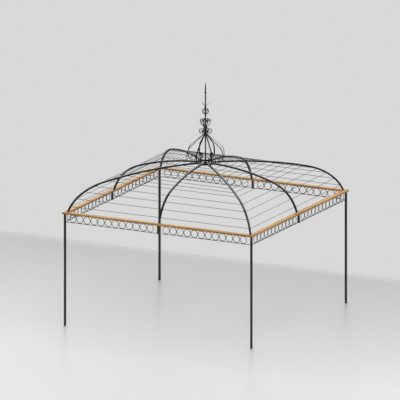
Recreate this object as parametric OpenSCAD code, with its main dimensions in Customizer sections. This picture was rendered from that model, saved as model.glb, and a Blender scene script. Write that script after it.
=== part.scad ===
// Open metal gazebo: a square frame of four tube posts, a timber rail with a frieze of rings
// under it, and a shallow domed roof of bent ribs and wires that carries an onion cage and spire.
// Millimetres, +Z up, origin on the ground at the centre of the plan, front side towards -Y.

/* [Plan] */
// Distance between post centres along one side
side_w = 4200; // [3600:50:4800]
// Width of a square post
post_w = 40; // [30:5:60]
// Height of the top of the posts
post_h = 2312; // [2100:1:2500]

/* [Timber rail] */
// Height of the timber rail
rail_h = 37; // [20:1:60]
// Reach of the rail outside the post centres
rail_out = 46; // [30:1:60]
// Reach of the rail inside the post centres
rail_in = 58; // [50:1:80]

/* [Ring frieze] */
// Rings in one half of a side
ring_count = 12; // [10:1:13]
// Outside diameter of a ring
ring_od = 157; // [120:1:158]
// Thickness of the bar that a ring is bent from
ring_bar = 11; // [6:1:14]
// Height of the centre of the lower bar
low_bar_z = 2148; // [2140:1:2170]
// Thickness of the flat lower bar
low_bar = 6; // [4:1:10]
// Thickness of the flat bar under the timber rail
top_bar = 4; // [3:1:8]

/* [Roof ribs] */
// Size of the square rib section
rib_w = 36; // [30:2:40]
// Distance of a rib's foot from the middle of the plan, square to a side
foot_a = 2058; // [2050:1:2060]
// Slope of a rib at its foot, in degrees
foot_slope = 74; // [70:1:80]
// Radius of the tight bend at the eaves
eave_r = 835; // [800:5:870]
// Slope where the tight bend ends, in degrees
eave_slope = 18.5; // [17:0.5:20]
// Radius of the shallow bend over the roof
dome_r = 4580; // [4300:10:4800]

/* [Roof wires] */
// Diameter of a wire
wire_d = 9; // [4:1:10]
// Wires along the tight bend
eave_wires = 4; // [2:1:5]
// Wires over the shallow bend
dome_wires = 9; // [6:1:9]
// Spacing of the wires over the shallow bend
dome_pitch = 135; // [120:5:135]

/* [Crown ring] */
// Outside radius of the ring that the ribs end on
crown_r = 180; // [170:2:185]
// Height of the crown ring
crown_h = 40; // [30:2:50]

/* [Onion cage and spire] */
// Width of a flat bar of the cage
cage_w = 28; // [20:2:34]
// Thickness of a flat bar of the cage
cage_t = 6; // [4:1:8]
// Width of the scrolls on the spire
scroll_w = 16; // [8:1:18]
// Thickness of the scrolls on the spire
scroll_t = 6; // [3:1:7]
// Radius of the spire rod
spire_r = 13; // [8:1:15]
// Height of the tip of the spire
spire_h = 4820; // [4760:10:4900]

/* [Hidden] */
half_w = side_w / 2;
rail_top = post_h + rail_h;
// Half of the clear run between a post and the middle drop post
bay_w = half_w - post_w;
ring_pitch = 158.5;
drop_low = low_bar_z - low_bar / 2 - 10;
// The roof curve starts just below the top of the rail and is drawn past it, then trimmed
foot_z = rail_top - 4;
foot_tail = 60;
crown_z = 3125;
// Slope where the roof curve ends, inside the crown ring
crown_slope = 0.5;
hub_r = 34;
spoke_w = 24;
spoke_t = 10;
crown_wall = 7;
// Angle of one facet of a bent bar, in degrees
rib_facet = 1.5;
cage_facet = 10;
scroll_facet = 15;
// Heights of the collars on the spire: cage collar, scroll collar, lower knop, upper knop, bead
cage_collar_z = 3690;
cage_collar_r = 42;
cage_collar_h = 48;
scroll_collar_z = 3858;
scroll_collar_r = 34;
scroll_collar_h = 27;
sleeve_r = 24;
low_knop_z = 4125;
low_knop_r = 18;
high_knop_z = 4285;
high_knop_r = 20;
knop_h = 34;
bead_z = 4595;
bead_r = 34;
bead_h = 24;
tip_h = 110;
basket_z = 4207;
basket_r = 54;
basket_bar = 12;
leaf_w = 22;
leaf_t = 7;
// Facets of round parts
$fn = 48;

// --- Bent bars -------------------------------------------------------------------------------

// Points along one arc that leaves p at a heading and turns by an angle, left when positive
function arc_points(p, heading, r, turn, facet) =
  let (
    way = sign(turn),
    count = ceil(abs(turn) / facet),
    centre = p + way * r * [-sin(heading), cos(heading)]
  )
  [for (i = [1:count])
    let (h = heading + turn * i / count) centre + way * r * [sin(h), -cos(h)]];

// Points along a chain of arcs, each given as [radius, turn]
function arc_chain(p, heading, arcs, facet, i = 0) =
  i == len(arcs) ? [] :
  let (points = arc_points(p, heading, arcs[i][0], arcs[i][1], facet))
  concat(points, arc_chain(points[len(points) - 1], heading + arcs[i][1], arcs, facet, i + 1));

// Unit vector square to the path at its point i, to the left of the way it runs
function path_normal(path, i) =
  let (
    along = path[min(i + 1, len(path) - 1)] - path[max(i - 1, 0)],
    unit = along / norm(along)
  )
  [-unit[1], unit[0]];

// Outline of a bar of thickness t that follows a path
module bar_outline(path, t) {
  last = len(path) - 1;
  left = [for (i = [0:last]) path[i] + t / 2 * path_normal(path, i)];
  right = [for (i = [last:-1:0]) path[i] - t / 2 * path_normal(path, i)];
  polygon(concat(left, right));
}

// Stands an outline, drawn as distance from the axis and height, upright at a plan angle
module upright(angle, w) {
  rotate([0, 0, angle])
    rotate([90, 0, 0])
      linear_extrude(height = w, center = true) children();
}

// --- Roof curve ------------------------------------------------------------------------------

// The roof curve, as distance from the middle square to a side, and height
roof_heading = 180 - foot_slope;
roof_foot = [foot_a, foot_z];
roof_turns = [[eave_r, foot_slope - eave_slope], [dome_r, eave_slope - crown_slope]];
roof_tail = roof_foot - foot_tail * [cos(roof_heading), sin(roof_heading)];
roof_path = concat([roof_tail, roof_foot], arc_chain(roof_foot, roof_heading, roof_turns, rib_facet));

// Point of the tight bend where its slope is s
function eave_point(s) =
  roof_foot + eave_r * [sin(s) - sin(foot_slope), cos(s) - cos(foot_slope)];
bend_point = eave_point(eave_slope);
// Point of the shallow bend at distance a from the middle
function dome_point(a) =
  let (s = asin(sin(eave_slope) - (bend_point[0] - a) / dome_r))
  [a, bend_point[1] + dome_r * (cos(s) - cos(eave_slope))];

eave_step = 12;
wire_points = concat(
  [for (i = [0:eave_wires - 1]) eave_point(foot_slope - 8 - eave_step * i)],
  [for (i = [0:dome_wires - 1]) dome_point(1465 - dome_pitch * i)]
);

// Outline of a rib. Over a corner the same curve is stretched to the diagonal.
module rib_outline(stretch) {
  path = [for (p = roof_path) [p[0] * stretch, p[1]]];
  bar_outline(path, rib_w);
}

module rib(angle, stretch) {
  color("#3c3e42")
    difference() {
      upright(angle, rib_w)
        difference() {
          rib_outline(stretch);
          translate([0, rail_top - 200]) square([2 * side_w, 200]);
        }
      translate([0, 0, crown_z - 100]) cylinder(r = crown_r, h = 200);
    }
}

// Half of the roof wires over one side, between the middle rib and a corner rib
module half_wires(angle, way) {
  color("#4a4c50")
    rotate([0, 0, angle])
      intersection() {
        for (p = wire_points)
          translate([0, -p[0], p[1]])
            rotate([0, way * 90, 0]) cylinder(d = wire_d, h = p[0]);
        translate([0, 0, post_h])
          linear_extrude(height = 1000)
            polygon([
              [way * rib_w / 2, 0],
              [way * rib_w / 2, -half_w],
              [way * (half_w - rib_w / sqrt(2)), -half_w],
              [way * rib_w / 2, -rib_w / 2 - rib_w / sqrt(2)]
            ]);
      }
}

// --- Frame -----------------------------------------------------------------------------------

module post(side_x, side_y) {
  color("#34363a")
    translate([side_x * half_w - post_w / 2, side_y * half_w - post_w / 2, 0])
      cube([post_w, post_w, post_h]);
}

// Short square post that hangs from the rail in the middle of a side
module drop_post(angle) {
  color("#34363a")
    rotate([0, 0, angle])
      translate([-post_w / 2, -half_w - post_w / 2, drop_low])
        cube([post_w, post_w, post_h - drop_low]);
}

// Timber rail along one side, mitred at both ends
module rail(angle) {
  outer = half_w + rail_out;
  inner = half_w - rail_in;
  color("#c3966a")
    rotate([0, 0, angle])
      translate([0, 0, post_h])
        linear_extrude(height = rail_h)
          polygon([[-outer, -outer], [outer, -outer], [inner, -inner], [-inner, -inner]]);
}

// One ring, standing in the plane of a side
module frieze_ring() {
  rotate([90, 0, 0])
    difference() {
      cylinder(d = ring_od, h = ring_bar, center = true);
      cylinder(d = ring_od - 2 * ring_bar, h = 2 * ring_bar, center = true);
    }
}

// Frieze between a corner post and the drop post: two flat bars with rings welded between them
module frieze(angle, way) {
  low_top = low_bar_z + low_bar / 2;
  ring_z = (low_top + post_h - top_bar) / 2;
  first_x = half_w / 2 - ring_pitch * (ring_count - 1) / 2;
  color("#34363a")
    rotate([0, 0, angle])
      translate([way * half_w / 2, -half_w, 0]) {
        translate([-bay_w / 2, -rib_w / 2, low_bar_z - low_bar / 2])
          cube([bay_w, rib_w, low_bar]);
        translate([-bay_w / 2, -rib_w / 2, post_h - top_bar])
          cube([bay_w, rib_w, top_bar]);
        for (i = [0:ring_count - 1])
          translate([first_x - half_w / 2 + ring_pitch * i, 0, ring_z]) frieze_ring();
      }
}

// --- Crown and spire -------------------------------------------------------------------------

// Hoop that the ribs end on, with four spokes to a hub that carries the spire
module crown_ring() {
  color("#3c3e42") {
    translate([0, 0, crown_z])
      difference() {
        cylinder(r = crown_r, h = crown_h);
        translate([0, 0, -1]) cylinder(r = crown_r - crown_wall, h = crown_h + 2);
      }
    translate([0, 0, crown_z]) cylinder(r = hub_r, h = crown_h);
    for (angle = [0, 90])
      rotate([0, 0, angle])
        translate([-crown_r + crown_wall / 2, -spoke_w / 2, crown_z])
          cube([2 * crown_r - crown_wall, spoke_w, spoke_t]);
  }
}

// One bar of the cage: from the collar out over the onion, then in to a volute on the rib
cage_path = concat(
  [[cage_collar_r - 10, 3738]],
  arc_chain([cage_collar_r - 10, 3738], -38,
    [[4400, -5], [200, -32], [440, -15], [110, -90], [70, -90], [55, -90], [40, -90], [28, -90]],
    cage_facet)
);

module cage_bar(angle, stretch) {
  upright(angle, cage_w)
    difference() {
      bar_outline(cage_path, cage_t);
      rib_outline(stretch);
    }
}

module onion_cage() {
  color("#303236")
    difference() {
      for (quarter = [0:3]) {
        cage_bar(90 * quarter, 1);
        cage_bar(90 * quarter + 45, sqrt(2));
      }
      cylinder(r = cage_collar_r, h = spire_h);
    }
}

// Rod with its collars, knops, bead and pointed tip, turned as one profile
module spire_rod() {
  base = crown_z + crown_h;
  color("#3c3e42")
    rotate_extrude()
      polygon([
        [0, base], [spire_r, base],
        [spire_r, cage_collar_z], [cage_collar_r, cage_collar_z],
        [cage_collar_r, cage_collar_z + cage_collar_h],
        [sleeve_r, cage_collar_z + cage_collar_h],
        [sleeve_r, scroll_collar_z], [scroll_collar_r, scroll_collar_z],
        [scroll_collar_r, scroll_collar_z + scroll_collar_h],
        [spire_r, scroll_collar_z + scroll_collar_h],
        [spire_r, low_knop_z - knop_h / 2], [low_knop_r, low_knop_z],
        [spire_r, low_knop_z + knop_h / 2],
        [spire_r, high_knop_z - knop_h / 2], [high_knop_r, high_knop_z],
        [spire_r, high_knop_z + knop_h / 2],
        [spire_r, bead_z - bead_h / 2], [bead_r, bead_z], [spire_r, bead_z + bead_h / 2],
        [spire_r, spire_h - tip_h], [0, spire_h]
      ]);
}

// Scrolls that curl out and back between the two collars
low_scroll_path = concat(
  [[sleeve_r - 4, 3847]],
  arc_chain([sleeve_r - 4, 3847], 0,
    [[4000, -1], [44, -89], [50, -90], [32, -90], [22, -90], [15, -90]], scroll_facet)
);

module lower_scrolls() {
  color("#303236")
    difference() {
      for (i = [0:7]) upright(45 * i, scroll_w) bar_outline(low_scroll_path, scroll_t);
      cylinder(r = sleeve_r, h = spire_h);
    }
}

// Scrolls that open like a lily above the upper collar
lily_foot = [scroll_collar_r - 6, scroll_collar_z + scroll_collar_h + 3];
lily_path = concat(
  [lily_foot],
  arc_chain(lily_foot, 34, [[215, 39], [32, 107], [22, 90], [16, 90], [11, 90]], scroll_facet)
);

module upper_scrolls() {
  color("#303236")
    difference() {
      for (i = [0:7]) upright(45 * i, scroll_w) bar_outline(lily_path, scroll_t);
      translate([0, 0, scroll_collar_z]) cylinder(r = scroll_collar_r, h = scroll_collar_h);
      cylinder(r = sleeve_r, h = spire_h);
    }
}

// Small round basket of bowed bars
module twisted_basket() {
  foot = [spire_r - 2, basket_z - basket_r];
  path = concat([foot], arc_chain(foot, 0, [[basket_r, 180]], scroll_facet));
  color("#303236")
    difference() {
      for (i = [0:5]) upright(60 * i, basket_bar) bar_outline(path, basket_bar);
      cylinder(r = spire_r, h = spire_h);
    }
}

// Two thin leaves that open from the upper knop
module leaf_sprig() {
  foot = [spire_r - 4, high_knop_z + knop_h / 2 + 2];
  path = concat([foot], arc_chain(foot, 60, [[240, -27]], 5));
  color("#303236")
    difference() {
      for (angle = [0, 180]) upright(angle, leaf_w) bar_outline(path, leaf_t);
      cylinder(r = spire_r, h = spire_h);
    }
}

post(-1, -1);  // post_front_left
post(1, -1);  // post_front_right
post(1, 1);  // post_back_right
post(-1, 1);  // post_back_left
drop_post(0);  // drop_post_front
drop_post(90);  // drop_post_right
drop_post(180);  // drop_post_back
drop_post(270);  // drop_post_left
rail(0);  // rail_front
rail(90);  // rail_right
rail(180);  // rail_back
rail(270);  // rail_left
frieze(0, -1);  // frieze_front_left
frieze(0, 1);  // frieze_front_right
frieze(90, -1);  // frieze_right_front
frieze(90, 1);  // frieze_right_back
frieze(180, -1);  // frieze_back_right
frieze(180, 1);  // frieze_back_left
frieze(270, -1);  // frieze_left_back
frieze(270, 1);  // frieze_left_front
rib(225, sqrt(2));  // corner_rib_front_left
rib(315, sqrt(2));  // corner_rib_front_right
rib(45, sqrt(2));  // corner_rib_back_right
rib(135, sqrt(2));  // corner_rib_back_left
rib(270, 1);  // side_rib_front
rib(0, 1);  // side_rib_right
rib(90, 1);  // side_rib_back
rib(180, 1);  // side_rib_left
half_wires(0, -1);  // wires_front_left
half_wires(0, 1);  // wires_front_right
half_wires(90, -1);  // wires_right_front
half_wires(90, 1);  // wires_right_back
half_wires(180, -1);  // wires_back_right
half_wires(180, 1);  // wires_back_left
half_wires(270, -1);  // wires_left_back
half_wires(270, 1);  // wires_left_front
crown_ring();
onion_cage();
spire_rod();
lower_scrolls();
upper_scrolls();
twisted_basket();
leaf_sprig();
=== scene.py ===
# %% [markdown]
# # An open metal gazebo
# The real object is a garden gazebo with no walls: four square tube posts carry a timber rail with
# a frieze of iron rings under it, and bent ribs rise from the rail to a shallow dome with an onion
# shaped cage and a scrolled spire. The construction model is loaded first and never moved. This
# lesson dresses it: each bar gets its round or softened section, and each surface its finish.

# %% Load the frame
import math

import bpy
from mathutils import Matrix, Vector


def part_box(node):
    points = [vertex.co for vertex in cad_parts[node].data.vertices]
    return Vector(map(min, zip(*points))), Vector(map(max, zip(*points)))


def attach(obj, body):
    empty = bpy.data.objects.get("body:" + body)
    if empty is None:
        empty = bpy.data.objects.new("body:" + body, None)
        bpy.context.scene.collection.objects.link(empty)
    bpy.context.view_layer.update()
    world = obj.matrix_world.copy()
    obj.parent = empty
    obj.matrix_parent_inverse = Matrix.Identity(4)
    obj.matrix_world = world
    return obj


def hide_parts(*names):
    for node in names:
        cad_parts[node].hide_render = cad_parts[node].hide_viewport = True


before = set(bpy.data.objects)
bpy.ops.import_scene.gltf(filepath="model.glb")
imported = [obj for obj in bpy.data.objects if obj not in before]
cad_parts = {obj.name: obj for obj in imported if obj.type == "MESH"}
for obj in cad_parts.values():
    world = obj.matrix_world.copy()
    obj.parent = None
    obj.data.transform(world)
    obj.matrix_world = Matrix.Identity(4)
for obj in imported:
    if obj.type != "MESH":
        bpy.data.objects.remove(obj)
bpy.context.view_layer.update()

# %% [markdown]
# ## Camera
# The gazebo is seen from the front and a little from the right, from slightly above, with no
# perspective: lines that are parallel on the object stay parallel. That is an orthographic camera.
# Its place follows from two angles, and its scale is the width of the picture in metres.

# %% Camera
VIEW_AZIMUTH = math.radians(26.9)
VIEW_ELEVATION = math.radians(14.12)
VIEW_WIDTH = 8.04
LOOK_HEIGHT = 2.368
LOOK_SHIFT = -0.11
CAMERA_DISTANCE = 20

camera_back = Vector((
    math.sin(VIEW_AZIMUTH) * math.cos(VIEW_ELEVATION),
    -math.cos(VIEW_AZIMUTH) * math.cos(VIEW_ELEVATION),
    math.sin(VIEW_ELEVATION),
))
camera_right = Vector((math.cos(VIEW_AZIMUTH), math.sin(VIEW_AZIMUTH), 0))
look_at = Vector((0, 0, LOOK_HEIGHT)) + camera_right * LOOK_SHIFT

bpy.ops.object.camera_add(location=look_at + camera_back * CAMERA_DISTANCE)
camera = bpy.context.object
camera.rotation_mode = "QUATERNION"
camera.rotation_quaternion = (-camera_back).to_track_quat("-Z", "Y")
camera.data.type = "ORTHO"
camera.data.ortho_scale = VIEW_WIDTH
camera.data.clip_end = 200
bpy.context.scene.camera = camera
print("camera at", [round(v, 2) for v in camera.location])

# %% [markdown]
# ## Light, floor and background
# A studio with pale walls gives light from every side. An even world does that. A wide lamp from
# above makes the tops of the bars lighter than their sides, and a wider one behind the gazebo puts
# a pale sheen on the bars that slope towards the front. The world shows its own pale grey to the
# camera, through Light Path, so the lamps don't have to be turned up for it. The floor stops
# behind the gazebo, where a studio floor meets the wall.

# %% Light and floor
WALL_GREY = 0.69
WORLD_LEVEL = 0.42
HIGH_FROM = (2.5, -1, 8)
HIGH_LEVEL = 1.0
HIGH_WIDTH = 36
BACK_FROM = (-2.5, 6, 5.5)
BACK_LEVEL = 2.2
BACK_WIDTH = 60
FLOOR_BACK = 4.3
FLOOR_REACH = 40
FLOOR_PALE_FROM = -4
FLOOR_ROUGHNESS = 0.32
FLOOR_IOR = 1.1
# Floor colours: a pale floor, with painted shade that darkens it towards the wall, where floor meets
# wall.
FLOOR_SHADE_AT_WALL = (0.43, 0.43, 0.43, 1)
FLOOR_SHADE_NEAR_WALL = (0.37, 0.37, 0.37, 1)
FLOOR_IN_FRONT = (0.6, 0.6, 0.6, 1)

scene = bpy.context.scene
scene.view_settings.view_transform = "Standard"

world = bpy.data.worlds.new("studio")
world.use_nodes = True
scene.world = world
world_nodes = world.node_tree.nodes
world_links = world.node_tree.links
world_nodes.clear()
studio_light = world_nodes.new("ShaderNodeBackground")
studio_light.inputs["Color"].default_value = (1, 1, 1, 1)
studio_light.inputs["Strength"].default_value = WORLD_LEVEL
studio_wall = world_nodes.new("ShaderNodeBackground")
studio_wall.inputs["Color"].default_value = (WALL_GREY, WALL_GREY, WALL_GREY, 1)
seen_by = world_nodes.new("ShaderNodeLightPath")
world_mix = world_nodes.new("ShaderNodeMixShader")
world_out = world_nodes.new("ShaderNodeOutputWorld")
world_links.new(seen_by.outputs["Is Camera Ray"], world_mix.inputs["Fac"])
world_links.new(studio_light.outputs["Background"], world_mix.inputs[1])
world_links.new(studio_wall.outputs["Background"], world_mix.inputs[2])
world_links.new(world_mix.outputs["Shader"], world_out.inputs["Surface"])


def soft_light(name, towards, level, width):
    """A wide, far lamp that shines from the direction of a point, seen from the middle."""
    place = Vector(towards)
    bpy.ops.object.light_add(type="SUN", location=place)
    lamp = bpy.context.object
    lamp.name = name
    lamp.rotation_euler = place.to_track_quat("Z", "Y").to_euler()
    lamp.data.energy = level
    lamp.data.angle = math.radians(width)


soft_light("high_light", HIGH_FROM, HIGH_LEVEL, HIGH_WIDTH)
soft_light("back_light", BACK_FROM, BACK_LEVEL, BACK_WIDTH)

bpy.ops.mesh.primitive_plane_add(size=1, location=(0, FLOOR_BACK - FLOOR_REACH / 2, 0))
floor = bpy.context.object
floor.name = "studio_floor"
floor.scale = (2 * FLOOR_REACH, FLOOR_REACH, 1)
bpy.ops.object.transform_apply(location=True, rotation=True, scale=True)


def floor_finish():
    """A pale floor with painted shade: darker towards the wall, darkest a little in front of it."""
    material = bpy.data.materials.new("pale_floor")
    material.use_nodes = True
    nodes = material.node_tree.nodes
    links = material.node_tree.links
    shader = nodes["Principled BSDF"]
    shader.inputs["Roughness"].default_value = FLOOR_ROUGHNESS
    shader.inputs["IOR"].default_value = FLOOR_IOR
    place = nodes.new("ShaderNodeTexCoord")
    split = nodes.new("ShaderNodeSeparateXYZ")
    across = nodes.new("ShaderNodeMapRange")
    across.inputs["From Min"].default_value = FLOOR_BACK
    across.inputs["From Max"].default_value = FLOOR_PALE_FROM
    # This ramp paints the shade of the corner where floor meets wall into the floor's colour.
    shade = nodes.new("ShaderNodeValToRGB")
    shade.color_ramp.elements[0].color = FLOOR_SHADE_AT_WALL
    shade.color_ramp.elements[1].color = FLOOR_IN_FRONT
    painted_corner_shade = shade.color_ramp.elements.new(0.05)
    painted_corner_shade.color = FLOOR_SHADE_NEAR_WALL
    links.new(place.outputs["Object"], split.inputs["Vector"])
    links.new(split.outputs["Y"], across.inputs["Value"])
    links.new(across.outputs["Result"], shade.inputs["Fac"])
    links.new(shade.outputs["Color"], shader.inputs["Base Color"])
    return material


floor.data.materials.append(floor_finish())
print("floor, world and two soft lamps are in place")

# %% [markdown]
# ## Small helpers
# An operator works on whatever is selected, so each step starts from an empty selection. A finished
# piece keeps its object at the origin, with its place in its mesh, so that one piece can be copied
# round the square by turning the copy and applying the turn.

# %% Helpers for pieces


def only(piece):
    """Selects one piece and nothing else, in object mode."""
    if bpy.context.object and bpy.context.object.mode != "OBJECT":
        bpy.ops.object.mode_set(mode="OBJECT")
    bpy.ops.object.select_all(action="DESELECT")
    piece.select_set(True)
    bpy.context.view_layer.objects.active = piece


def nothing():
    """Empties the selection, before a primitive is added."""
    bpy.ops.object.select_all(action="DESELECT")


def settle(piece, name):
    """Names a piece and puts its place into its mesh."""
    only(piece)
    bpy.ops.object.transform_apply(location=True, rotation=True, scale=True)
    piece.name = name
    piece.data.name = name
    return piece


def join(parts, name):
    """Joins meshes into one piece."""
    only(parts[0])
    for part in parts[1:]:
        part.select_set(True)
    bpy.ops.object.join()
    return settle(bpy.context.object, name)


def copy_of(piece, name, turn=0, shift=(0, 0, 0)):
    """A copy with its own mesh, moved by shift and then turned about the middle of the plan."""
    copy = piece.copy()
    copy.data = piece.data.copy()
    bpy.context.collection.objects.link(copy)
    angle = math.radians(turn)
    copy.rotation_euler = (0, 0, angle)
    copy.location = Matrix.Rotation(angle, 3, "Z") @ Vector(shift)
    return settle(copy, name)


def tidy_mesh(piece, smooth_angle=35):
    """Merges doubled points, turns the faces outwards and smooths all but the sharp edges."""
    only(piece)
    bpy.ops.object.mode_set(mode="EDIT")
    bpy.ops.mesh.select_all(action="SELECT")
    bpy.ops.mesh.remove_doubles(threshold=0.00002)
    bpy.ops.mesh.normals_make_consistent(inside=False)
    bpy.ops.object.mode_set(mode="OBJECT")
    bpy.ops.object.shade_smooth_by_angle(angle=math.radians(smooth_angle))


def softened(piece, width, segments=2):
    """Rounds the sharp edges of a piece with a bevel that is applied at once."""
    only(piece)
    bevel = piece.modifiers.new("soft_edges", "BEVEL")
    bevel.width = width
    bevel.segments = segments
    bevel.limit_method = "ANGLE"
    bevel.angle_limit = math.radians(40)
    bpy.ops.object.modifier_apply(modifier=bevel.name)
    tidy_mesh(piece)


def block(name, low, high):
    """A bar with square ends between two corners."""
    low, high = Vector(low), Vector(high)
    nothing()
    bpy.ops.mesh.primitive_cube_add(size=1, location=(low + high) / 2)
    piece = bpy.context.object
    piece.scale = high - low
    return settle(piece, name)


def count_faces(pieces):
    """How many faces a list of pieces has, for the printed notes."""
    return sum(len(piece.data.polygons) for piece in pieces)


finished = {}


def finish_piece(piece, node, material):
    """Gives a piece its finish, hides the construction solid that it stands for, and keeps it."""
    piece.data.materials.clear()
    piece.data.materials.append(material)
    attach(piece, "root")
    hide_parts(node)
    finished[node] = piece


print("helpers ready")

# %% [markdown]
# ## Bent bars
# A smith bends a straight bar round formers of different radius. The same few numbers describe the
# result here: a start, a heading and a chain of arcs. A curve object follows the points, a small
# closed outline is its bevel object, and converting it gives a mesh with capped ends.

# %% Paths and sections


def arc_chain(start, heading, arcs, step):
    """Points along arcs given as (radius, turn in degrees), left turns positive."""
    place = Vector(start)
    heading = math.radians(heading)
    points = [place]
    for radius, turn in arcs:
        turn = math.radians(turn)
        way = math.copysign(1, turn)
        centre = place + way * radius * Vector((-math.sin(heading), math.cos(heading)))
        count = math.ceil(abs(turn) / math.radians(step))
        for i in range(1, count + 1):
            angle = heading + turn * i / count
            points.append(centre + way * radius * Vector((math.sin(angle), -math.cos(angle))))
        heading += turn
        place = points[-1]
    return points


def flat_section(width, thickness, corner):
    """Outline of a flat or square bar with rounded corners, as a closed curve."""
    nothing()
    bpy.ops.mesh.primitive_plane_add(size=1)
    outline = bpy.context.object
    outline.scale = (thickness, width, 1)
    settle(outline, "section")
    bpy.ops.object.mode_set(mode="EDIT")
    bpy.ops.mesh.select_all(action="SELECT")
    bpy.ops.mesh.bevel(offset=corner, segments=3, affect="VERTICES")
    bpy.ops.mesh.delete(type="ONLY_FACE")
    bpy.ops.object.mode_set(mode="OBJECT")
    bpy.ops.object.convert(target="CURVE")
    return bpy.context.object


def round_section(radius):
    """Outline of a round bar."""
    nothing()
    bpy.ops.curve.primitive_bezier_circle_add(radius=radius)
    outline = bpy.context.object
    outline.data.resolution_u = 4
    return outline


def bend(name, path, section):
    """A bar of a given section that follows a path of points.

    A path of (distance from the axis, height) points stands upright over the X axis. A flat
    curve keeps its section square to that plane. A path of three numbers a point is free.
    """
    nothing()
    bpy.ops.curve.primitive_bezier_curve_add()
    bar = bpy.context.object
    shape = bar.data
    flat = len(path[0]) == 2
    shape.dimensions = "2D" if flat else "3D"
    shape.splines.clear()
    spline = shape.splines.new("POLY")
    spline.points.add(len(path) - 1)
    for point, place in zip(spline.points, path):
        point.co = (*place, 0, 1) if flat else (*place, 1)
    shape.bevel_mode = "OBJECT"
    shape.bevel_object = section
    shape.use_fill_caps = True
    bpy.ops.object.convert(target="MESH")
    bar = bpy.context.object
    if flat:
        bar.rotation_euler = (math.radians(90), 0, 0)
    settle(bar, name)
    tidy_mesh(bar)
    return bar


def draw_chain(name, points):
    """Edges through points: a plane is merged to one point, which is extruded from each to the next."""
    nothing()
    bpy.ops.mesh.primitive_plane_add(size=1)
    chain = bpy.context.object
    chain.name = name
    bpy.ops.object.mode_set(mode="EDIT")
    bpy.ops.mesh.select_mode(type="VERT")
    bpy.ops.mesh.select_all(action="SELECT")
    bpy.ops.mesh.merge(type="CENTER")
    bpy.ops.transform.translate(value=points[0])
    for here, there in zip(points, points[1:]):
        step = Vector(there) - Vector(here)
        bpy.ops.mesh.extrude_region_move(TRANSFORM_OT_translate={"value": step})
    bpy.ops.object.mode_set(mode="OBJECT")
    return chain


def put_away(section):
    """Removes a section outline once its bars are made."""
    bpy.data.objects.remove(section, do_unlink=True)


print("bars can be bent")

# %% [markdown]
# ## Dark paint on iron
# The iron is painted near black with a satin sheen. Paint this dark shows its shape mostly through
# the sheen: faces seen at a low angle turn pale grey and the others stay dark. A slow noise varies
# the colour a little, a second one the roughness, and a fine bump gives the skin of brushed paint.
# Hammered bars get a wider, softer bump under it.

# %% Dark paint


def dark_paint(name, deep, worn, gloss_ior, roughness, hammer):
    """Satin charcoal paint, with a hammered surface under it where hammer is above zero."""
    material = bpy.data.materials.new(name)
    material.use_nodes = True
    nodes = material.node_tree.nodes
    links = material.node_tree.links
    shader = nodes["Principled BSDF"]
    shader.inputs["IOR"].default_value = gloss_ior
    place = nodes.new("ShaderNodeTexCoord")

    clouds = nodes.new("ShaderNodeTexNoise")
    clouds.inputs["Scale"].default_value = 5
    clouds.inputs["Detail"].default_value = 6
    shade = nodes.new("ShaderNodeValToRGB")
    shade.color_ramp.elements[0].position = 0.35
    shade.color_ramp.elements[0].color = (*deep, 1)
    shade.color_ramp.elements[1].position = 0.7
    shade.color_ramp.elements[1].color = (*worn, 1)
    links.new(place.outputs["Object"], clouds.inputs["Vector"])
    links.new(clouds.outputs["Fac"], shade.inputs["Fac"])
    links.new(shade.outputs["Color"], shader.inputs["Base Color"])

    smears = nodes.new("ShaderNodeTexNoise")
    smears.inputs["Scale"].default_value = 18
    gloss = nodes.new("ShaderNodeMapRange")
    gloss.inputs["To Min"].default_value = roughness - 0.07
    gloss.inputs["To Max"].default_value = roughness + 0.1
    links.new(place.outputs["Object"], smears.inputs["Vector"])
    links.new(smears.outputs["Fac"], gloss.inputs["Value"])
    links.new(gloss.outputs["Result"], shader.inputs["Roughness"])

    skin = nodes.new("ShaderNodeTexNoise")
    skin.inputs["Scale"].default_value = 350
    skin_bump = nodes.new("ShaderNodeBump")
    skin_bump.inputs["Strength"].default_value = 0.15
    skin_bump.inputs["Distance"].default_value = 0.0004
    links.new(place.outputs["Object"], skin.inputs["Vector"])
    links.new(skin.outputs["Fac"], skin_bump.inputs["Height"])
    if hammer > 0:
        dents = nodes.new("ShaderNodeTexVoronoi")
        dents.feature = "SMOOTH_F1"
        dents.inputs["Scale"].default_value = 70
        dent_bump = nodes.new("ShaderNodeBump")
        dent_bump.inputs["Strength"].default_value = hammer
        dent_bump.inputs["Distance"].default_value = 0.0015
        links.new(place.outputs["Object"], dents.inputs["Vector"])
        links.new(dents.outputs["Distance"], dent_bump.inputs["Height"])
        links.new(dent_bump.outputs["Normal"], skin_bump.inputs["Normal"])
    links.new(skin_bump.outputs["Normal"], shader.inputs["Normal"])
    return material


DEEP = (0.008, 0.0085, 0.0095)
WORN = (0.018, 0.0185, 0.02)
WIRE_DEEP = (0.03, 0.031, 0.034)
WIRE_WORN = (0.05, 0.051, 0.054)
HAMMERED = 0.35
frame_paint = dark_paint("frame_paint", DEEP, WORN, 1.5, 0.36, 0)
roof_paint = dark_paint("roof_paint", DEEP, WORN, 1.4, 0.33, 0)
wire_paint = dark_paint("wire_paint", WIRE_DEEP, WIRE_WORN, 1.42, 0.4, 0)
forged_paint = dark_paint("forged_paint", DEEP, WORN, 1.44, 0.38, HAMMERED)
print("four dark paints made")

# %% [markdown]
# ## Oiled timber
# The rail is a plank of warm brown softwood. Its grain runs along the plank, so the noise that draws
# it is stretched: scaled up across the plank and down along it. A Mapping node does that, and the
# planks that run the other way get the same finish with the two scales exchanged. Broad bands give
# the boards their light and dark wood, fine streaks the pores, and the streaks feed the bump.

# %% Timber
WOOD_DARK = (0.345, 0.165, 0.046, 1)
WOOD_MIDDLE = (0.51, 0.275, 0.085, 1)
WOOD_LIGHT = (0.645, 0.38, 0.132, 1)
PORE_DARK = (0.55, 0.48, 0.42, 1)
WHITE = (1, 1, 1, 1)


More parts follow.
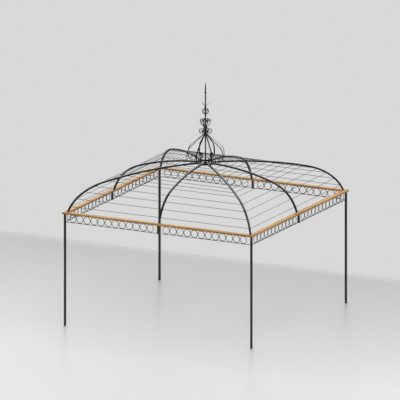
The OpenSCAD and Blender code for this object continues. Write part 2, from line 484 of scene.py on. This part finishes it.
def timber(name, along):
    """Oiled softwood with its grain along the X or the Y axis."""
    material = bpy.data.materials.new(name)
    material.use_nodes = True
    nodes = material.node_tree.nodes
    links = material.node_tree.links
    shader = nodes["Principled BSDF"]
    shader.inputs["Roughness"].default_value = 0.55
    shader.inputs["Specular IOR Level"].default_value = 0.2
    place = nodes.new("ShaderNodeTexCoord")

    def stretched(lengthwise, across):
        """Object coordinates scaled along and across the grain."""
        mapping = nodes.new("ShaderNodeMapping")
        scale = (lengthwise, across, across) if along == "X" else (across, lengthwise, across)
        mapping.inputs["Scale"].default_value = scale
        links.new(place.outputs["Object"], mapping.inputs["Vector"])
        return mapping.outputs["Vector"]

    bands = nodes.new("ShaderNodeTexNoise")
    bands.inputs["Scale"].default_value = 1
    bands.inputs["Detail"].default_value = 3
    bands.inputs["Distortion"].default_value = 0.6
    links.new(stretched(1.1, 22), bands.inputs["Vector"])
    streaks = nodes.new("ShaderNodeTexNoise")
    streaks.inputs["Scale"].default_value = 1
    streaks.inputs["Detail"].default_value = 8
    links.new(stretched(7, 260), streaks.inputs["Vector"])

    wood = nodes.new("ShaderNodeValToRGB")
    ramp = wood.color_ramp
    ramp.elements[0].position = 0.3
    ramp.elements[0].color = WOOD_DARK
    ramp.elements[1].position = 0.68
    ramp.elements[1].color = WOOD_LIGHT
    middle = ramp.elements.new(0.5)
    middle.color = WOOD_MIDDLE
    links.new(bands.outputs["Fac"], wood.inputs["Fac"])

    pores = nodes.new("ShaderNodeMix")
    pores.data_type = "RGBA"
    pores.blend_type = "MULTIPLY"
    pores.inputs["Factor"].default_value = 0.55
    pore_shade = nodes.new("ShaderNodeValToRGB")
    pore_shade.color_ramp.elements[0].position = 0.34
    pore_shade.color_ramp.elements[0].color = PORE_DARK
    pore_shade.color_ramp.elements[1].position = 0.56
    pore_shade.color_ramp.elements[1].color = WHITE
    links.new(streaks.outputs["Fac"], pore_shade.inputs["Fac"])
    links.new(wood.outputs["Color"], pores.inputs["A"])
    links.new(pore_shade.outputs["Color"], pores.inputs["B"])
    links.new(pores.outputs["Result"], shader.inputs["Base Color"])

    grain_bump = nodes.new("ShaderNodeBump")
    grain_bump.inputs["Strength"].default_value = 0.35
    grain_bump.inputs["Distance"].default_value = 0.0006
    links.new(streaks.outputs["Fac"], grain_bump.inputs["Height"])
    links.new(grain_bump.outputs["Normal"], shader.inputs["Normal"])
    return material


timber_x = timber("oiled_timber_x", "X")
timber_y = timber("oiled_timber_y", "Y")
print("timber finish made for both directions")

# %% [markdown]
# ## Weld beads
# Every crossing on the real frame is a small weld. A bead is a sphere of few faces, pressed flat.
# Beads repeat hundreds of times, so the mesh is made once and each copy is only moved, and all the
# beads of one piece are joined to it.

# %% Weld beads
BEAD_SQUASH = 0.7


def beads(places, radius):
    """A list of small weld beads, one centred on each place."""
    nothing()
    bpy.ops.mesh.primitive_ico_sphere_add(subdivisions=2, radius=radius)
    first = bpy.context.object
    first.scale = (1, 1, BEAD_SQUASH)
    settle(first, "bead")
    bpy.ops.object.shade_smooth()
    made = [copy_of(first, "bead", 0, place) for place in places]
    bpy.data.objects.remove(first, do_unlink=True)
    return made


print("beads ready")

# %% [markdown]
# ## Posts
# The posts and the short posts in the middle of each side are square tube. Rolled tube has rounded
# corners, so the four upright edges are selected by their direction and bevelled wide, and the
# ends get a narrow bevel, like a ground weld.

# %% Posts
TUBE_CORNER = 0.005
END_BEVEL = 0.0012
SIDES = ("front", "right", "back", "left")
CORNERS = ("front_left", "front_right", "back_right", "back_left")


def square_tube(node):
    """A square tube with rounded corners that fills the box of a node."""
    low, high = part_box(node)
    tube = block(node + "_tube", low, high)
    bpy.ops.object.mode_set(mode="EDIT")
    bpy.ops.mesh.select_mode(type="EDGE")
    bpy.ops.mesh.select_all(action="DESELECT")
    bpy.ops.object.mode_set(mode="OBJECT")
    mesh = tube.data
    for edge in mesh.edges:
        run = mesh.vertices[edge.vertices[0]].co - mesh.vertices[edge.vertices[1]].co
        edge.select = abs(run.z) > 0.5 * run.length
    bpy.ops.object.mode_set(mode="EDIT")
    bpy.ops.mesh.bevel(offset=TUBE_CORNER, segments=4, affect="EDGES")
    bpy.ops.object.mode_set(mode="OBJECT")
    softened(tube, END_BEVEL)
    return tube


for corner in CORNERS:
    finish_piece(square_tube("post_" + corner), "post_" + corner, frame_paint)
for side in SIDES:
    node = "drop_post_" + side
    finish_piece(square_tube(node), node, frame_paint)
print("posts:", len(finished), "pieces,", count_faces(finished.values()), "faces")

# %% [markdown]
# ## Timber rail
# Each side has one plank, cut at 45 degrees at both ends so that four of them close the square.
# One plank is a block whose ends are cut with the bisect operator, then its edges are eased. The
# other three are copies turned by quarter turns, with their own grain direction.

# %% Timber rail
EASED_EDGE = 0.004
MITRE_GAP = 0.0006


def cut(piece, point, normal):
    """Cuts a piece on a plane, throws away the side the normal points to, and closes the cut."""
    only(piece)
    bpy.ops.object.mode_set(mode="EDIT")
    bpy.ops.mesh.select_all(action="SELECT")
    bpy.ops.mesh.bisect(plane_co=point, plane_no=normal, use_fill=True, clear_outer=True)
    bpy.ops.object.mode_set(mode="OBJECT")


low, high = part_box("rail_front")
plank = block("rail_front_plank", low, high)
cut(plank, (high.x - MITRE_GAP, low.y, 0), (1, 1, 0))
cut(plank, (low.x + MITRE_GAP, low.y, 0), (-1, 1, 0))
tidy_mesh(plank)
softened(plank, EASED_EDGE, 3)
for index, side in enumerate(SIDES):
    node = "rail_" + side
    board = copy_of(plank, node + "_board", 90 * index)
    finish_piece(board, node, timber_x if index % 2 == 0 else timber_y)
bpy.data.objects.remove(plank, do_unlink=True)
print("four mitred planks,", round(high.z - low.z, 3), "m thick")

# %% [markdown]
# ## Ring frieze
# Under the rail runs a row of rings between two flat bars. Half a side is built once: the two
# bars come from the box of the node, the rings are tori stood on edge, and each ring has a bead
# where it meets a bar. The other seven halves are copies, moved along the side and
# turned round the square.

# %% Ring frieze
RINGS = 12
RING_PITCH = 0.1585
RING_DIAMETER = 0.157
RING_BAR = 0.011
LOW_BAR = 0.006
TOP_BAR = 0.004
SMALL_BEAD = 0.007
FLAT_EDGE = 0.001

low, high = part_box("frieze_front_left")
middle = (low + high) / 2
ring_z = (low.z + LOW_BAR + high.z - TOP_BAR) / 2
half_shift = -(low.x + high.x)

low_flat = block("low_flat", low, (high.x, high.y, low.z + LOW_BAR))
top_flat = block("top_flat", (low.x, low.y, high.z - TOP_BAR), high)
for flat in (low_flat, top_flat):
    softened(flat, FLAT_EDGE)

ring_xs = [middle.x + RING_PITCH * (i - (RINGS - 1) / 2) for i in range(RINGS)]
nothing()
bpy.ops.mesh.primitive_torus_add(
    major_segments=40,
    minor_segments=10,
    major_radius=(RING_DIAMETER - RING_BAR) / 2,
    minor_radius=RING_BAR / 2,
    rotation=(math.radians(90), 0, 0),
)
ring = settle(bpy.context.object, "ring")
bpy.ops.object.shade_smooth()
rings = [copy_of(ring, "ring", 0, (x, middle.y, ring_z)) for x in ring_xs]
bpy.data.objects.remove(ring, do_unlink=True)

bead_places = [(x, middle.y, low.z + LOW_BAR) for x in ring_xs]
bead_places += [(x, middle.y, high.z - TOP_BAR - SMALL_BEAD / 3) for x in ring_xs]
half_frieze = join([low_flat, top_flat] + rings + beads(bead_places, SMALL_BEAD), "half_frieze")

FRIEZE_HALVES = (
    ("front_left", "front_right"),
    ("right_front", "right_back"),
    ("back_right", "back_left"),
    ("left_back", "left_front"),
)
for index, halves in enumerate(FRIEZE_HALVES):
    for place, name in enumerate(halves):
        node = "frieze_" + name
        piece = copy_of(half_frieze, node + "_rings", 90 * index, (place * half_shift, 0, 0))
        finish_piece(piece, node, frame_paint)
print("frieze half:", len(half_frieze.data.polygons), "faces, rings", RINGS)
bpy.data.objects.remove(half_frieze, do_unlink=True)

# %% [markdown]
# ## Roof ribs
# A rib rises steeply from the rail, bends tight over the eaves and runs nearly flat to the crown
# ring. Over a corner the same curve is stretched to the diagonal, so that each wire stays level.
# The rib starts below the top of the rail, is cut off flush with it, and ends just inside the ring.

# %% Roof ribs
RIB_SIZE = 0.036
RIB_CORNER = 0.005
FOOT_DISTANCE = 2.058
FOOT_SLOPE = 74
EAVE_RADIUS = 0.835
EAVE_SLOPE = 18.5
DOME_RADIUS = 4.58
CROWN_SLOPE = 0.5
FOOT_TAIL = 0.06
FOOT_DROP = 0.004
RIB_STEP = 0.8
RING_BITE = 0.0008

rail_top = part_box("rail_front")[1].z
crown_low, crown_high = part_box("crown_ring")
foot = Vector((FOOT_DISTANCE, rail_top - FOOT_DROP))
foot_heading = 180 - FOOT_SLOPE
foot_along = Vector((math.cos(math.radians(foot_heading)), math.sin(math.radians(foot_heading))))
rib_arcs = ((EAVE_RADIUS, FOOT_SLOPE - EAVE_SLOPE), (DOME_RADIUS, EAVE_SLOPE - CROWN_SLOPE))
rib_path = [foot - FOOT_TAIL * foot_along] + arc_chain(foot, foot_heading, rib_arcs, RIB_STEP)

rib_section = flat_section(RIB_SIZE, RIB_SIZE, RIB_CORNER)
side_rib = bend("side_rib", rib_path, rib_section)
corner_rib = bend("corner_rib", [(p.x * math.sqrt(2), p.y) for p in rib_path], rib_section)
put_away(rib_section)

for rib in (side_rib, corner_rib):
    cut(rib, (0, 0, rail_top), (0, 0, -1))
    cut(rib, (crown_high.x - RING_BITE, 0, 0), (-1, 0, 0))
    tidy_mesh(rib)

for index, side in enumerate(("right", "back", "left", "front")):
    node = "side_rib_" + side
    finish_piece(copy_of(side_rib, node + "_bar", 90 * index), node, roof_paint)
for index, corner in enumerate(("back_right", "back_left", "front_left", "front_right")):
    node = "corner_rib_" + corner
    piece = copy_of(corner_rib, node + "_bar", 45 + 90 * index)
    finish_piece(piece, node, roof_paint)
print("ribs:", len(side_rib.data.polygons), "and", len(corner_rib.data.polygons), "faces each")
bpy.data.objects.remove(side_rib, do_unlink=True)
bpy.data.objects.remove(corner_rib, do_unlink=True)

# %% [markdown]
# ## Roof wires
# Thirteen thin wires run level over each side, four round the bend of the eaves and nine over the
# dome. The construction wires have the right shape, so they stay, with a finish of their own. What
# they lack is the weld at each end, so beads are set where a wire meets the side of a rib.

# %% Roof wires
EAVE_WIRES = 4
EAVE_FIRST = 8
EAVE_STEP = 12
DOME_WIRES = 9
DOME_FIRST = 1.465
DOME_PITCH = 0.135
WIRE_BEAD = 0.008


def eave_point(slope):
    """Point of the tight bend where its slope, in degrees, is this."""
    slope, start = math.radians(slope), math.radians(FOOT_SLOPE)
    turn = Vector((math.sin(slope) - math.sin(start), math.cos(slope) - math.cos(start)))
    return foot + EAVE_RADIUS * turn


def dome_point(distance):
    """Point of the shallow bend at this distance from the middle."""
    bend_end = eave_point(EAVE_SLOPE)
    start = math.radians(EAVE_SLOPE)
    slope = math.asin(math.sin(start) - (bend_end.x - distance) / DOME_RADIUS)
    return Vector((distance, bend_end.y + DOME_RADIUS * (math.cos(slope) - math.cos(start))))


wire_points = [eave_point(FOOT_SLOPE - EAVE_FIRST - EAVE_STEP * i) for i in range(EAVE_WIRES)]
wire_points += [dome_point(DOME_FIRST - DOME_PITCH * i) for i in range(DOME_WIRES)]
half_rib = RIB_SIZE / 2
bead_places = []
for p in wire_points:
    for way in (-1, 1):
        bead_places.append((way * half_rib, -p.x, p.y))
        bead_places.append((way * (p.x - half_rib * math.sqrt(2)), -p.x, p.y))
side_beads = join(beads(bead_places, WIRE_BEAD), "side_beads")
for index, side in enumerate(SIDES):
    piece = copy_of(side_beads, "wire_welds_" + side, 90 * index)
    piece.data.materials.clear()
    piece.data.materials.append(roof_paint)
    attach(piece, "root")
bpy.data.objects.remove(side_beads, do_unlink=True)

for name, node_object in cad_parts.items():
    if name.startswith("wires_"):
        node_object.data.materials.clear()
        node_object.data.materials.append(wire_paint)
print("wires:", len(wire_points), "a side, beads", len(bead_places), "a side")

# %% [markdown]
# ## Crown ring
# The ribs end on a hoop. A small rounded rectangle is turned round the axis with the spin operator,
# which is how a rolled hoop is shaped. Four spokes carry a hub for the spire, and the hub is a
# turned piece too, with a chamfer drawn in its outline.

# %% Turned pieces
TURN_STEPS = 64


def turned(name, outline, closed):
    """Turns an outline of (radius, height) points round the upright axis."""
    points = [(r, 0, z) for r, z in outline]
    if closed:
        points.append(points[0])
    piece = draw_chain(name, points)
    bpy.ops.object.mode_set(mode="EDIT")
    bpy.ops.mesh.select_all(action="SELECT")
    bpy.ops.mesh.spin(steps=TURN_STEPS, angle=math.radians(360), center=(0, 0, 0), axis=(0, 0, 1))
    bpy.ops.object.mode_set(mode="OBJECT")
    tidy_mesh(piece, 30)
    return piece


HOOP_WALL = 0.007
HUB_RADIUS = 0.034
SPOKE_WIDTH = 0.024
SPOKE_THICK = 0.01
HOOP_EDGE = 0.0015
HUB_EDGE = 0.0045

crown_r = crown_high.x
z0, z1 = crown_low.z, crown_high.z
inner_r = crown_r - HOOP_WALL
hoop = turned("hoop", [
    (inner_r, z0 + HOOP_EDGE), (inner_r + HOOP_EDGE, z0), (crown_r - HOOP_EDGE, z0),
    (crown_r, z0 + HOOP_EDGE), (crown_r, z1 - HOOP_EDGE), (crown_r - HOOP_EDGE, z1),
    (inner_r + HOOP_EDGE, z1), (inner_r, z1 - HOOP_EDGE),
], True)
hub = turned("hub", [
    (0, z0), (HUB_RADIUS - HUB_EDGE, z0), (HUB_RADIUS, z0 + HUB_EDGE),
    (HUB_RADIUS, z1 - HUB_EDGE), (HUB_RADIUS - HUB_EDGE, z1), (0, z1),
], False)
reach = crown_r - HOOP_WALL / 2
spoke = block("spoke", (-reach, -SPOKE_WIDTH / 2, z0), (reach, SPOKE_WIDTH / 2, z0 + SPOKE_THICK))
softened(spoke, HOOP_EDGE)
cross_spoke = copy_of(spoke, "spoke", 90)
crown = join([hoop, hub, spoke, cross_spoke], "crown_ring_hoop")
finish_piece(crown, "crown_ring", roof_paint)
print("crown ring:", len(crown.data.polygons), "faces")

# %% [markdown]
# ## Onion cage
# Eight flat bars stand over the ribs. Each leaves the collar on the spire, swells out, turns in
# under itself and ends in a volute that rests on its rib. It is one chain of arcs whose radius
# shrinks from turn to turn, as a smith's scroll does.

# %% Onion cage
CAGE_START = (0.032, 3.738)
CAGE_ARCS = (
    (4.4, -5), (0.2, -32), (0.44, -15), (0.11, -90), (0.07, -90),
    (0.055, -90), (0.04, -90), (0.028, -90),
)
CAGE_HEADING = -38
CAGE_BARS = 8
CAGE_WIDTH = 0.028
CAGE_THICK = 0.006
CAGE_EDGE = 0.0014

cage_section = flat_section(CAGE_WIDTH, CAGE_THICK, CAGE_EDGE)
cage_bar = bend("cage_bar", arc_chain(CAGE_START, CAGE_HEADING, CAGE_ARCS, 5), cage_section)
put_away(cage_section)
cage_bars = [copy_of(cage_bar, "cage_bar", 360 / CAGE_BARS * i) for i in range(CAGE_BARS)]
bpy.data.objects.remove(cage_bar, do_unlink=True)
cage = join(cage_bars, "onion_cage_bars")
finish_piece(cage, "onion_cage", forged_paint)
print("onion cage:", len(cage.data.polygons), "faces")

# %% [markdown]
# ## Spire
# The rod carries everything above the roof. Its outline is drawn from the hub up: a moulded collar
# that grips the cage bars, a sleeve, a second collar, two knops, a bead and a long point. Round
# mouldings are half circles added by a small function, and the whole outline is turned at once.

# %% Spire rod
ROD = 0.013
SLEEVE = 0.024
TIP = 0.11
COLLAR_TOP = 3.738
SCROLL_COLLAR = (3.858, 3.885)
spire_low, spire_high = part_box("spire_rod")


def moulding(bottom, top, neck, belly, steps=8):
    """Points of a round moulding that swells from the neck radius to the belly and back."""
    points = []
    for i in range(steps + 1):
        angle = math.pi * i / steps
        height = bottom + (top - bottom) * (1 - math.cos(angle)) / 2
        points.append((neck + (belly - neck) * math.sin(angle), height))
    return points


spire_outline = [(0, spire_low.z), (ROD, spire_low.z), (ROD, 3.688)]
spire_outline += moulding(3.690, 3.704, 0.030, 0.041)
spire_outline += moulding(3.704, 3.724, 0.034, 0.0385)
spire_outline += moulding(3.724, COLLAR_TOP, 0.030, 0.041)
spire_outline += [(SLEEVE, COLLAR_TOP + 0.002), (SLEEVE, SCROLL_COLLAR[0])]
spire_outline += moulding(SCROLL_COLLAR[0], SCROLL_COLLAR[1], SLEEVE, 0.034)
spire_outline += [(ROD, SCROLL_COLLAR[1] + 0.001)]
spire_outline += moulding(4.108, 4.142, ROD, 0.0178)
spire_outline += moulding(4.268, 4.302, ROD, 0.020)
spire_outline += moulding(4.583, 4.589, ROD, 0.019)
spire_outline += [(0.024, 4.590), (0.033, 4.595), (0.024, 4.600)]
spire_outline += moulding(4.601, 4.607, ROD, 0.019)
spire_outline += [(ROD, spire_high.z - TIP), (0.0078, spire_high.z - TIP / 2), (0, spire_high.z)]
spire = turned("spire_rod_turned", spire_outline, False)
finish_piece(spire, "spire_rod", forged_paint)
print("spire:", len(spire_outline), "outline points,", len(spire.data.polygons), "faces")

# %% [markdown]
# ## Scrolls on the spire
# Two rings of scrolls decorate the spire: round ones that curl out and back between the collars,
# and taller ones above that open like a lily. Both are chains of arcs in a lighter flat bar.

# %% Scrolls
SCROLLS = 8
SCROLL_WIDTH = 0.016
SCROLL_THICK = 0.006
SCROLL_EDGE = 0.0012
LOW_SCROLL_HEADING = 0
LOW_SCROLL_START = (0.020, 3.847)
LOW_SCROLL_ARCS = ((4.0, -1), (0.044, -89), (0.05, -90), (0.032, -90), (0.022, -90), (0.015, -90))
LILY_HEADING = 34
LILY_START = (0.028, 3.888)
LILY_ARCS = ((0.215, 39), (0.032, 107), (0.022, 90), (0.016, 90), (0.011, 90))

scroll_section = flat_section(SCROLL_WIDTH, SCROLL_THICK, SCROLL_EDGE)
for node, start, heading, arcs in (
    ("lower_scrolls", LOW_SCROLL_START, LOW_SCROLL_HEADING, LOW_SCROLL_ARCS),
    ("upper_scrolls", LILY_START, LILY_HEADING, LILY_ARCS),
):
    scroll = bend("scroll", arc_chain(start, heading, arcs, 6), scroll_section)
    scrolls = [copy_of(scroll, "scroll", 360 / SCROLLS * i) for i in range(SCROLLS)]
    bpy.data.objects.remove(scroll, do_unlink=True)
    piece = join(scrolls, node + "_bars")
    finish_piece(piece, node, forged_paint)
    print(node, len(piece.data.polygons), "faces")
put_away(scroll_section)

# %% [markdown]
# ## Twisted basket
# Between the two knops sits a small basket. A smith welds six thin rods at both ends, twists them
# and then untwists them a little, so that they bulge. Each rod follows a half circle that also
# turns round the axis on its way up, so its path has three numbers for each point.

# %% Twisted basket
BASKET_RODS = 6
BASKET_BAR = 0.012
BASKET_TWIST = 130
BASKET_STEPS = 28
BASKET_SINK = 0.002
basket_low, basket_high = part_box("twisted_basket")
basket_z = (basket_low.z + basket_high.z) / 2
basket_radius = (basket_high.z - basket_low.z - BASKET_BAR) / 2


def basket_path():
    """A half circle from pole to pole that turns round the axis as it climbs."""
    points = []
    for i in range(BASKET_STEPS + 1):
        part = i / BASKET_STEPS
        climb = math.pi * part
        away = ROD - BASKET_SINK + basket_radius * math.sin(climb)
        angle = math.radians(BASKET_TWIST) * part
        height = basket_z - basket_radius * math.cos(climb)
        points.append((away * math.cos(angle), away * math.sin(angle), height))
    return points


basket_section = round_section(BASKET_BAR / 2)
basket_rod = bend("basket_rod", basket_path(), basket_section)
put_away(basket_section)
basket_rods = [copy_of(basket_rod, "basket_rod", 360 / BASKET_RODS * i) for i in range(BASKET_RODS)]
bpy.data.objects.remove(basket_rod, do_unlink=True)
basket = join(basket_rods, "twisted_basket_rods")
finish_piece(basket, "twisted_basket", forged_paint)
print("basket:", len(basket.data.polygons), "faces")

# %% [markdown]
# ## Leaves
# Two thin leaves open in a V above the basket. A leaf is a strip three points wide, broad in the
# middle, pointed at the end and creased along its vein. The strip's root is extruded step by step
# along an arc and resized on the way, and a Solidify modifier gives it the thickness of sheet iron.

# %% Leaves
LEAF_ARCS = ((0.24, -27),)
LEAF_START = (0.009, 4.304)
LEAF_HEADING = 60
LEAF_STEP = 1.5
LEAF_HALF_WIDTH = 0.0105
LEAF_HALF_TIP = 0.0003
LEAF_LIFT = 0.0014
LEAF_SHEET = 0.003


def leaf_half(part):
    """Half the width of a leaf, a part of the way along it."""
    half = LEAF_HALF_WIDTH * min(1, 0.35 + 2 * part) * math.sqrt(max(0, 1 - part ** 3))
    return max(half, LEAF_HALF_TIP)


def leaf():
    """A creased leaf that stands over the X axis."""
    path = arc_chain(LEAF_START, LEAF_HEADING, LEAF_ARCS, LEAF_STEP)
    last = len(path) - 1
    halves = [leaf_half(i / last) for i in range(last + 1)]
    root = path[0]
    side_x, side_z = root.x - LEAF_LIFT, root.y + LEAF_LIFT
    piece = draw_chain("leaf", [
        (side_x, -halves[0], side_z), (root.x, 0, root.y), (side_x, halves[0], side_z),
    ])
    bpy.ops.object.mode_set(mode="EDIT")
    bpy.ops.mesh.select_all(action="SELECT")
    for i in range(1, last + 1):
        step = path[i] - path[i - 1]
        bpy.ops.mesh.extrude_region_move(TRANSFORM_OT_translate={"value": (step.x, 0, step.y)})
        narrowing = halves[i] / halves[i - 1]
        bpy.ops.transform.resize(value=(1, narrowing, 1), center_override=(path[i].x, 0, path[i].y))
    bpy.ops.object.mode_set(mode="OBJECT")
    sheet = piece.modifiers.new("sheet", "SOLIDIFY")
    sheet.thickness = LEAF_SHEET
    sheet.offset = 0
    bpy.ops.object.modifier_apply(modifier=sheet.name)
    tidy_mesh(piece)
    return piece


right_leaf = leaf()
left_leaf = copy_of(right_leaf, "leaf", 180)
leaves = join([right_leaf, left_leaf], "leaf_sprig_leaves")
finish_piece(leaves, "leaf_sprig", forged_paint)
print("leaves:", len(leaves.data.polygons), "faces")
